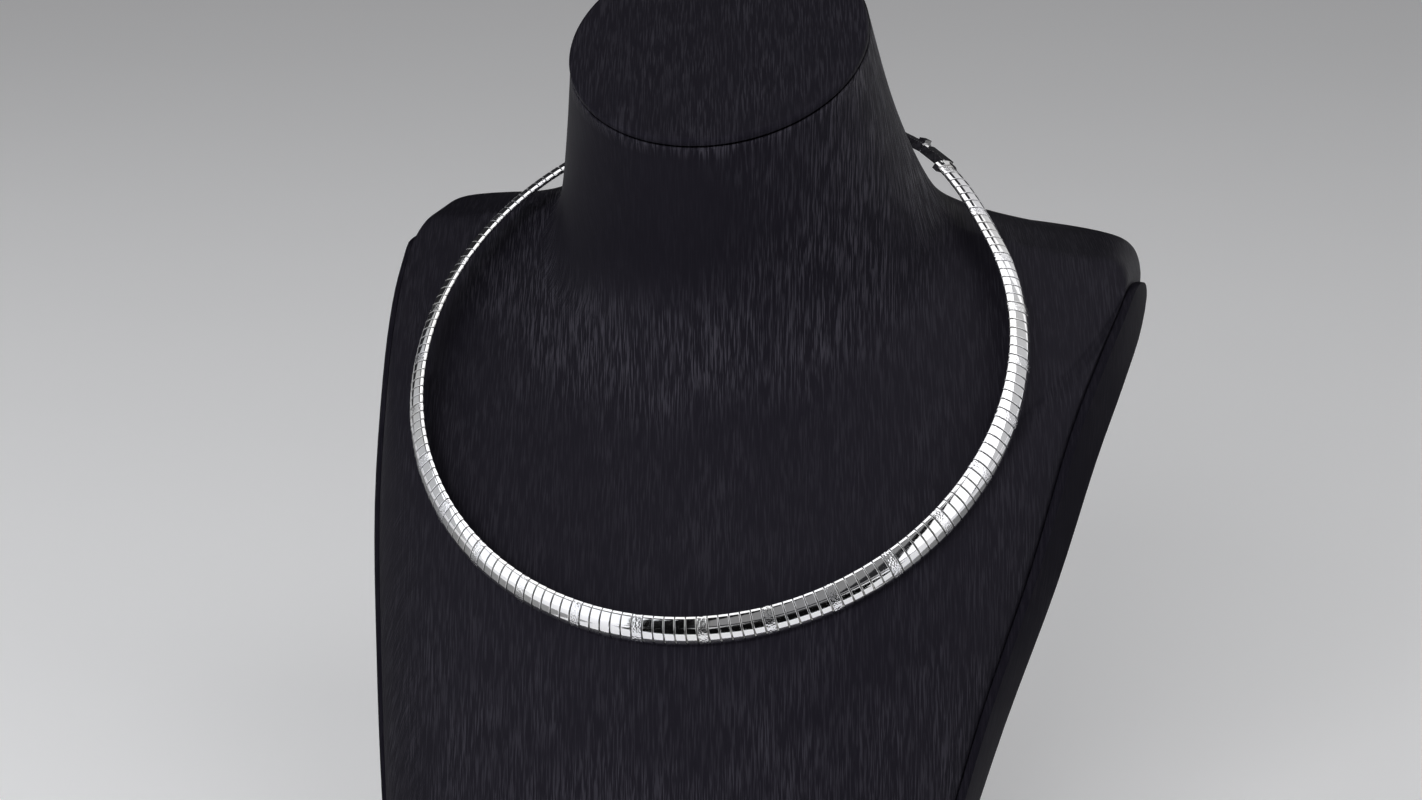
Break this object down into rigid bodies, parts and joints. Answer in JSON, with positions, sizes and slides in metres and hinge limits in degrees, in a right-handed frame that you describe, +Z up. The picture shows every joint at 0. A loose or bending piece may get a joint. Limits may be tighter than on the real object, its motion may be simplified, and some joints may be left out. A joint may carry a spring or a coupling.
{
  "type": "omega necklace on a neck bust",
  "caption": "Stiff round collar of domed silver plates over a woven core, closed with a box clasp and lying on a plain black neck bust.",
  "frame": {"origin": "middle of the foot, at the bottom centre of the bounding box", "axes": "+Z up, the bust faces -Y, +X is the side with the clasp"},
  "size_m": [0.1704, 0.1504, 0.2022],
  "materials": {
    "leatherette": "black leatherette with a fine streaky grain",
    "woven_wire": "fine woven silver wire",
    "silver": "mirror polished silver",
    "cut_silver": "silver with a finely cut sparkling face"
  },
  "bodies": {
    "root": {"bust_body": "leatherette", "neck_cap": "leatherette", "side_panel_left": "leatherette", "side_panel_right": "leatherette", "mesh_core": "woven_wire", "plain_plates": "silver", "textured_plates": "cut_silver", "clasp_box": "silver", "clasp_tongue": "silver"}
  },
  "joints": []
}
